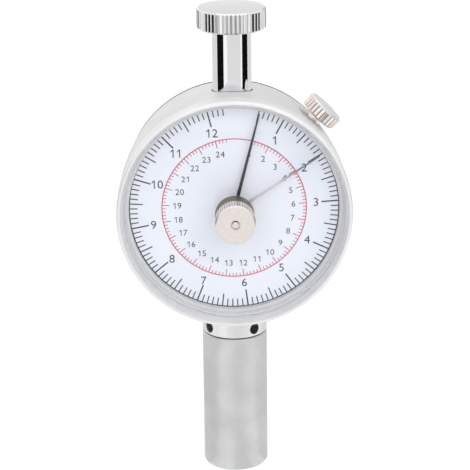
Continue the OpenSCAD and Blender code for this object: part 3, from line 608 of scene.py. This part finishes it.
def make_spring():
    """A round wire wound into a coil, with one end on its washer."""
    low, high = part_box("load_spring")
    seat_z = plunger_joint["deforming_nodes"][0]["fixed_end_z_m"]
    wire_r = WIRE_D * MM / 2
    first_z = seat_z + wire_r + SPRING_CLEAR * MM
    last_z = low.z + high.z - first_z
    deselect()
    bpy.ops.mesh.primitive_circle_add(vertices=WIRE_SIDES, radius=wire_r,
        location=(high.x - wire_r, 0, first_z), rotation=FACING_FRONT.to_euler())
    spring = name_piece("load_spring_finished")
    apply_place(spring)
    apply_modifier(spring, "wind", "SCREW", axis="Z", iterations=SPRING_TURNS,
        screw_offset=(last_z - first_z) / SPRING_TURNS, steps=STEPS_PER_TURN, render_steps=STEPS_PER_TURN)
    bpy.ops.object.mode_set(mode="EDIT")
    bpy.ops.mesh.select_all(action="SELECT")
    bpy.ops.mesh.remove_doubles(threshold=MERGE_GAP)
    bpy.ops.mesh.fill_holes(sides=0)
    bpy.ops.mesh.select_all(action="SELECT")
    bpy.ops.mesh.normals_make_consistent(inside=False)
    bpy.ops.object.mode_set(mode="OBJECT")
    bpy.ops.object.shade_smooth_by_angle(angle=WIRE_ANGLE)
    set_finish(spring, FINISHES[node_slot["load_spring"]])
    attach(spring, node_body["load_spring"])
    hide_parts("load_spring")
    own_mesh(spring)


make_spring()


# Painted shade: a dark ring in the groove between the collar and the handle, in millimetres

SHADE_RING_INSET = 0.24
SHADE_RING_R = 0.12
SHADE_RING_SIDES = 96
SHADE_RING_ROUND = 12


def make_seal():
    """A thin black ring that fills the groove, as painted shade."""
    handle_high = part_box("handle_tube")[1]
    deselect()
    bpy.ops.mesh.primitive_torus_add(major_radius=handle_high.x - SHADE_RING_INSET * MM, minor_radius=SHADE_RING_R * MM,
        major_segments=SHADE_RING_SIDES, minor_segments=SHADE_RING_ROUND, location=(0, 0, handle_high.z))
    shade_ring = name_piece("collar_groove_shade")
    apply_place(shade_ring)
    bpy.ops.object.shade_smooth()
    # The black cover's finish, used here for painted shade.
    set_finish(shade_ring, FINISHES["cover_black"])
    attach(shade_ring, "case")


make_seal()


# Printed dial, in millimetres and degrees

PRINT_THICK = 0.02
PRINT_UP = 0.13
CIRCLE_SIDES = 240
SCALE_STEP = 2.88
SCALE_FIRST = 5
SCALE_LAST = 123
OUTER_R = 26.93
OUTER_LENGTHS = {"unit": 4.45, "half": 3.4, "tenth": 2.1}
OUTER_WIDTHS = {"unit": 0.36, "half": 0.31, "tenth": 0.28}
OUTER_CIRCLE_W = 0.3
OUTER_UNIT = 28.8
OUTER_COUNT = 12
OUTER_NUMBER_R = 20.95
OUTER_NUMBER_H = 2.15
INNER_R = 18.6
INNER_LENGTHS = {"unit": 1.9, "fifth": 0.9}
INNER_WIDTHS = {"unit": 0.22, "fifth": 0.2}
INNER_CIRCLE_W = 0.26
INNER_UNIT = 14.4
INNER_COUNT = 24
INNER_NUMBER_R = 14.9
INNER_NUMBER_H = 1.55

# How far numerals are printed to the right of their places on the circle, and above them
INNER_NUMBER_SHIFT = (0.3, 0)
OUTER_NUMBER_SHIFT = (0, 0)
OUTER_NUMBER_SHIFTS = {
    1: (0.35, -0.5), 2: (0.2, -0.65), 4: (-0.3, 0.1), 5: (-0.3, 0.65), 6: (-0.2, 0.6), 7: (-0.35, 0),
    9: (-0.1, -0.15), 10: (0.35, 0.25), 11: (-0.3, -0.45), 12: (-0.3, -0.3),
}

# Shares of a digit's height
DIGIT_PITCH = 0.777
ONE_STEM_RIGHT = 0.071
ONE_STEM_WIDTH = 0.125
ONE_FLAG_THICK = 0.16
ONE_FLAG_OUT = 0.24
ONE_FLAG_DOWN = 0.2
ONE_NEAR = 0.01


def on_dial(angle, radius):
    """Where a flat print goes: its X to the right of its place on the scale, its Y away from the centre."""
    middle = Matrix.Translation(dial_centre + Vector((0, 0, PRINT_UP * MM)))
    turn = Matrix.Rotation(math.radians(angle), 4, "Y")
    shift = Matrix.Translation((0, radius * MM, 0))
    return middle @ turn @ FACING_FRONT @ shift


def thicken_print():
    """Gives the flat shape in edit mode its ink's thickness, and leaves edit mode."""
    bpy.ops.mesh.select_all(action="SELECT")
    bpy.ops.mesh.extrude_region_move(TRANSFORM_OT_translate={"value": (0, 0, PRINT_THICK * MM)})
    bpy.ops.mesh.select_all(action="SELECT")
    bpy.ops.mesh.normals_make_consistent(inside=False)
    bpy.ops.object.mode_set(mode="OBJECT")


def flat_bar(name, width, length):
    """A printed line, lying from the origin down along -Y."""
    deselect()
    bpy.ops.mesh.primitive_plane_add(size=1)
    bar = name_piece(name)
    bpy.ops.object.mode_set(mode="EDIT")
    bpy.ops.transform.resize(value=(width * MM, length * MM, 1))
    bpy.ops.transform.translate(value=(0, -length * MM / 2, 0))
    thicken_print()
    return bar


def print_scale(name, radius, kind_of, lengths, widths, material):
    """A ring of lines pointing inwards from a circle; kind_of says which length a line has."""
    models = {kind: flat_bar(name + "_" + kind, widths[kind], lengths[kind]) for kind in lengths}
    lines = []
    for index in range(SCALE_FIRST, SCALE_LAST + 1):
        line = models[kind_of(index)].copy()
        line.data = line.data.copy()
        bpy.context.scene.collection.objects.link(line)
        line.matrix_world = on_dial(index * SCALE_STEP, radius)
        lines.append(line)
    for model in models.values():
        bpy.data.objects.remove(model)
    scale = join(lines, name)
    set_finish(scale, material)
    return scale


def print_circle(name, radius, width, material):
    """A printed circle whose outer edge is at a radius."""
    deselect()
    bpy.ops.mesh.primitive_circle_add(vertices=CIRCLE_SIDES, radius=radius * MM)
    circle = name_piece(name)
    inner = (radius - width) / radius
    bpy.ops.object.mode_set(mode="EDIT")
    bpy.ops.mesh.select_all(action="SELECT")
    bpy.ops.mesh.extrude_region_move()
    bpy.ops.transform.resize(value=(inner, inner, 1))
    thicken_print()
    circle.matrix_world = on_dial(0, 0)
    apply_place(circle)
    set_finish(circle, material)
    return circle


def font_digit(digit, height):
    """A digit of the built-in font, centred on the origin, as high as asked and with its ink's thickness."""
    deselect()
    bpy.ops.object.text_add()
    text = bpy.context.object.data
    text.body = digit
    # Half to each side, for a depth of 1
    text.extrude = 1 / 2
    bpy.ops.object.convert(target="MESH")
    shape = bpy.context.object
    corners = [Vector(corner) for corner in shape.bound_box]
    low = Vector([min(corner[axis] for corner in corners) for axis in range(3)])
    high = Vector([max(corner[axis] for corner in corners) for axis in range(3)])
    size = height * MM / (high.y - low.y)
    centred = Matrix.Translation(-(low + high) / 2)
    shape.matrix_world = Matrix.Diagonal((size, size, PRINT_THICK * MM, 1)) @ centred
    apply_place(shape)
    return shape


def flagged_one(height):
    """The digit 1: a stem whose upper left edge is drawn out, down and to the left, into a flag."""
    deselect()
    bpy.ops.mesh.primitive_plane_add(size=1)
    shape = bpy.context.object
    tall = height * MM
    left = (ONE_STEM_RIGHT - ONE_STEM_WIDTH / 2) * tall
    notch = (1 / 2 - ONE_FLAG_THICK) * tall
    near = ONE_NEAR * tall
    bpy.ops.object.mode_set(mode="EDIT")
    bpy.ops.transform.resize(value=(ONE_STEM_WIDTH * tall, tall, 1))
    bpy.ops.transform.translate(value=(ONE_STEM_RIGHT * tall, 0, -PRINT_THICK * MM / 2))
    bpy.ops.mesh.bisect(plane_co=(0, notch, 0), plane_no=(0, 1, 0))
    bpy.ops.mesh.select_all(action="DESELECT")
    bpy.ops.mesh.select_mode(type="EDGE")
    bpy.ops.object.mode_set(mode="OBJECT")
    for edge in shape.data.edges:
        ends = [shape.data.vertices[index].co for index in edge.vertices]
        edge.select = all(abs(end.x - left) < near and end.y > notch - near for end in ends)
    bpy.ops.object.mode_set(mode="EDIT")
    drawn = (-ONE_FLAG_OUT * tall, -ONE_FLAG_DOWN * tall, 0)
    bpy.ops.mesh.extrude_region_move(TRANSFORM_OT_translate={"value": drawn})
    thicken_print()
    return shape


def print_numbers(name, count, unit_angle, radius, height, material, usual_shift, shifts):
    """Upright numerals on a circle, from 1 to a count, each shifted right and up as it is printed."""
    made = []
    for number in range(1, count + 1):
        right, up = shifts.get(number, usual_shift)
        angle = math.radians(number * unit_angle)
        across = radius * math.sin(angle) + right
        above = radius * math.cos(angle) + up + PRINT_UP
        digits = str(number)
        for place, digit in enumerate(digits):
            shape = flagged_one(height) if digit == "1" else font_digit(digit, height)
            along = across + (place - (len(digits) - 1) / 2) * DIGIT_PITCH * height
            spot = Vector((along, -PRINT_THICK / 2, above)) * MM
            shape.matrix_world = Matrix.Translation(dial_centre + spot) @ FACING_FRONT
            made.append(shape)
    printed = join(made, name)
    set_finish(printed, material)
    return printed


def outer_kind(index):
    if index % 10 == 0:
        return "unit"
    return "half" if index % 5 == 0 else "tenth"


def inner_kind(index):
    return "unit" if index % 5 == 0 else "fifth"


prints = [
    print_scale("outer_scale_lines", OUTER_R - OUTER_CIRCLE_W / 2, outer_kind, OUTER_LENGTHS, OUTER_WIDTHS,
        PRINT_BLACK),
    print_circle("outer_scale_circle", OUTER_R, OUTER_CIRCLE_W, PRINT_BLACK),
    print_numbers("outer_numerals", OUTER_COUNT, OUTER_UNIT, OUTER_NUMBER_R, OUTER_NUMBER_H, PRINT_BLACK,
        OUTER_NUMBER_SHIFT, OUTER_NUMBER_SHIFTS),
    print_scale("inner_scale_lines", INNER_R - INNER_CIRCLE_W / 2, inner_kind, INNER_LENGTHS, INNER_WIDTHS,
        PRINT_RED),
    print_circle("inner_scale_circle", INNER_R, INNER_CIRCLE_W, PRINT_RED),
    print_numbers("inner_numerals", INNER_COUNT, INNER_UNIT, INNER_NUMBER_R, INNER_NUMBER_H, PRINT_GREY,
        INNER_NUMBER_SHIFT, {}),
]
for print_piece in prints:
    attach(print_piece, "bezel")


# Studio, in metres, with lifts above the floor in millimetres and angles in degrees

WHITE = (1, 1, 1, 1)
WORLD_LIGHT = 0.91
FLOOR_SIZE = 6
FLOOR_DROP = 0.02
FLOOR_COLOUR = (0.85, 0.85, 0.85, 1)
FLOOR_ROUGH = 0.9
FLOOR_SHADOW = (0.25, 0.25, 0.25, 1)
FLOOR_GLOW = 0.82

# Dark cards at the sides: distance to the right, and reach from front to rear
FLAG_COLOUR = (0.006, 0.006, 0.007, 1)
FLAG_HEIGHT = 0.14
FLAGS = {"dark_flag_left": (-0.3, (-0.252, 0.029)), "dark_flag_right": (0.3, (-0.163, 0.075))}

# Fans on the floor: reach, half angle, turn to the right of the front, glow and lift
FANS = {
    "grey_card_front": (0.6, 40, 12, 0.83, 0.5),
    "grey_card_left": (0.6, 33, -131, 0.8, 0.5),
    "grey_card_right": (0.6, 30, 136, 0.8, 0.5),
    "handle_card_left": (0.1, 21, -79, 0.79, 0.8),
    "handle_card_mid": (0.1, 26, -32, 0.955, 0.8),
    "handle_card_bright": (0.1, 12, 44, 0.98, 0.8),
    "handle_card_right": (0.1, 20, 88, 0.83, 0.8),
}
TRIANGLE_HALF_ANGLE = 30
TRIANGLE_HEIGHT = 1.5

# Strip on the floor in front: width, reach from front to rear, glow at its rear and front, and lift
STRIP_WIDTH = 0.3
STRIP_REACH = (-0.345, -0.2)
STRIP_GLOW = (0.83, 0.0)
STRIP_LIFT = 1.0

# Hung cards: centre, turn, size and glow
HUNG_CARDS = {
    "bright_card_top": ((0, 0, 0.7), LEVEL, (0.6, 0.6), 1.25),
    "grey_card_back": ((0.36, 0.6, 0.26), FACING_FRONT, (0.6, 0.48), 0.7),
}

# Lamps: place, size and power in watts
SOFTBOXES = {
    "key_softbox": ((0.35, -0.42, 0.48), (0.5, 0.5), 0.6),
    "front_softbox": ((0, -0.9, 0.6), (1.2, 0.36), 2.2),
}

# Camera, fitted to the photograph's view
VIEW_YAW = 0.023
VIEW_PITCH = 0.331
VIEW_ROLL = -0.011
VIEW_DISTANCE = 0.50986
VIEW_SIDE = -0.000211
VIEW_UP = 0.006869
LENS = 152.67
SENSOR = 36
CLIP_START = 0.01


def white_for_view(tree, plain, white, output):
    """Shows the camera, mirrors and glass a white background, and gives other rays the plain shader."""
    path = add_node(tree, "ShaderNodeLightPath").outputs
    seen = maths(tree, "ADD", path["Is Camera Ray"], path["Is Glossy Ray"])
    through = maths(tree, "ADD", seen, path["Is Transmission Ray"], clamp=True)
    mix_shaders(tree, through, plain, white, output)


def make_world():
    """Even white light from all round."""
    world = bpy.data.worlds.new("studio")
    bpy.context.scene.world = world
    world.use_nodes = True
    tree = world.node_tree
    dim = tree.nodes["Background"]
    white = add_node(tree, "ShaderNodeBackground")
    for background, strength in ((dim, WORLD_LIGHT), (white, 1)):
        background.inputs["Color"].default_value = WHITE
        background.inputs["Strength"].default_value = strength
    white_for_view(tree, dim.outputs[0], white.outputs[0], tree.nodes["World Output"])


def make_floor():
    """A pale floor, which the view shows as white with the object's soft shadow."""
    deselect()
    bpy.ops.mesh.primitive_plane_add(size=FLOOR_SIZE, location=(0, 0, ground_z - FLOOR_DROP * MM))
    floor = name_piece("floor")
    apply_place(floor)
    material, tree, shader = new_material("pale_floor")
    shader.inputs["Base Color"].default_value = FLOOR_COLOUR
    shader.inputs["Roughness"].default_value = FLOOR_ROUGH
    soft = add_node(tree, "ShaderNodeBsdfDiffuse")
    soft.inputs["Color"].default_value = FLOOR_SHADOW
    glow = add_node(tree, "ShaderNodeEmission")
    glow.inputs["Strength"].default_value = FLOOR_GLOW
    shown = add_node(tree, "ShaderNodeAddShader")
    tree.links.new(soft.outputs[0], shown.inputs[0])
    tree.links.new(glow.outputs[0], shown.inputs[1])
    white_for_view(tree, shader.outputs["BSDF"], shown.outputs[0], tree.nodes["Material Output"])
    set_finish(floor, material)


def dark_material(name):
    """A card's flat black, without gloss."""
    material, _, shader = new_material(name)
    shader.inputs["Base Color"].default_value = FLAG_COLOUR
    shader.inputs["Roughness"].default_value = 1
    shader.inputs["Specular IOR Level"].default_value = 0
    return material


def glow_material(name, strength):
    """A card's even glow."""
    material, tree, _ = new_material(name)
    glow = add_node(tree, "ShaderNodeEmission")
    glow.inputs["Strength"].default_value = strength
    tree.links.new(glow.outputs[0], tree.nodes["Material Output"].inputs["Surface"])
    return material


def graded_material(name, reach, strengths):
    """A card's glow that changes from its rear to its front."""
    material, tree, _ = new_material(name)
    split = add_node(tree, "ShaderNodeSeparateXYZ")
    tree.links.new(object_place(tree), split.inputs["Vector"])
    glow = add_node(tree, "ShaderNodeEmission")
    grade = map_range(tree, split.outputs["Y"], (reach[1], reach[0]), strengths)
    tree.links.new(grade, glow.inputs["Strength"])
    tree.links.new(glow.outputs[0], tree.nodes["Material Output"].inputs["Surface"])
    return material


def hang_card(card, place, material):
    """Puts a card of the studio in its place, where it is seen in metal alone."""
    card.matrix_world = place
    apply_place(card)
    set_finish(card, material)
    card.visible_camera = False
    card.visible_diffuse = False
    card.visible_shadow = False
    card.visible_transmission = False


def make_card(name, centre, turn, size, material):
    """A flat card of the studio, for the tones, highlights and dark lines of metal."""
    deselect()
    bpy.ops.mesh.primitive_plane_add(size=1)
    card = name_piece(name)
    hang_card(card, Matrix.Translation(centre) @ turn @ Matrix.Diagonal((*size, 1, 1)), material)


def make_fan(name, reach, half_angle, turn, strength, lift):
    """A light grey fan on the floor, turned away from the front, for the soft tones of round metal."""
    deselect()
    corner_r = reach / TRIANGLE_HEIGHT
    bpy.ops.mesh.primitive_circle_add(vertices=3, radius=corner_r, fill_type="NGON")
    fan = name_piece(name)
    spread = math.tan(math.radians(half_angle)) / math.tan(math.radians(TRIANGLE_HALF_ANGLE))
    place = (Matrix.Translation((0, 0, ground_z + lift * MM))
        @ Matrix.Rotation(math.radians(turn), 4, "Z")
        @ Matrix.Diagonal((spread, 1, 1, 1))
        @ Matrix.Translation((0, -corner_r, 0)))
    hang_card(fan, place, glow_material(name, strength))


def make_softbox(name, place, size, power):
    """A lamp that faces the dial and isn't seen in metal."""
    data = bpy.data.lights.new(name, "AREA")
    data.shape = "RECTANGLE"
    data.size = size[0]
    data.size_y = size[1]
    data.energy = power
    lamp = bpy.data.objects.new(name, data)
    bpy.context.scene.collection.objects.link(lamp)
    lamp.visible_glossy = False
    lamp.location = place
    lamp.rotation_euler = (dial_centre - Vector(place)).to_track_quat("-Z", "Y").to_euler()


def make_camera():
    """The camera, turned and placed from the dial's centre."""
    level_reach = math.cos(VIEW_PITCH)
    forward = Vector((math.sin(VIEW_YAW) * level_reach, math.cos(VIEW_YAW) * level_reach,
        -math.sin(VIEW_PITCH)))
    level = Vector((math.cos(VIEW_YAW), -math.sin(VIEW_YAW), 0))
    above = level.cross(forward)
    right = math.cos(VIEW_ROLL) * level + math.sin(VIEW_ROLL) * above
    up = math.cos(VIEW_ROLL) * above - math.sin(VIEW_ROLL) * level
    data = bpy.data.cameras.new("camera")
    data.lens = LENS
    data.sensor_width = SENSOR
    data.clip_start = CLIP_START
    camera = bpy.data.objects.new("camera", data)
    bpy.context.scene.collection.objects.link(camera)
    place = dial_centre - VIEW_DISTANCE * forward - VIEW_SIDE * right - VIEW_UP * up
    axes = Matrix((right, up, -forward)).transposed()
    camera.matrix_world = Matrix.Translation(place) @ axes.to_4x4()
    bpy.context.scene.camera = camera


make_world()
make_floor()
for name, (right, reach) in FLAGS.items():
    centre = (right, (reach[0] + reach[1]) / 2, FLAG_HEIGHT / 2)
    make_card(name, centre, FACING_SIDE, (FLAG_HEIGHT, reach[1] - reach[0]), dark_material(name))
for name, values in FANS.items():
    make_fan(name, *values)
make_card("window_strip", (0, (STRIP_REACH[0] + STRIP_REACH[1]) / 2, ground_z + STRIP_LIFT * MM), LEVEL,
    (STRIP_WIDTH, STRIP_REACH[1] - STRIP_REACH[0]), graded_material("window_strip", STRIP_REACH, STRIP_GLOW))
for name, (centre, turn, size, strength) in HUNG_CARDS.items():
    make_card(name, centre, turn, size, glow_material(name, strength))
for name, (place, size, power) in SOFTBOXES.items():
    make_softbox(name, place, size, power)
make_camera()
bpy.context.scene.view_settings.view_transform = "Standard"

bpy.context.view_layer.update()
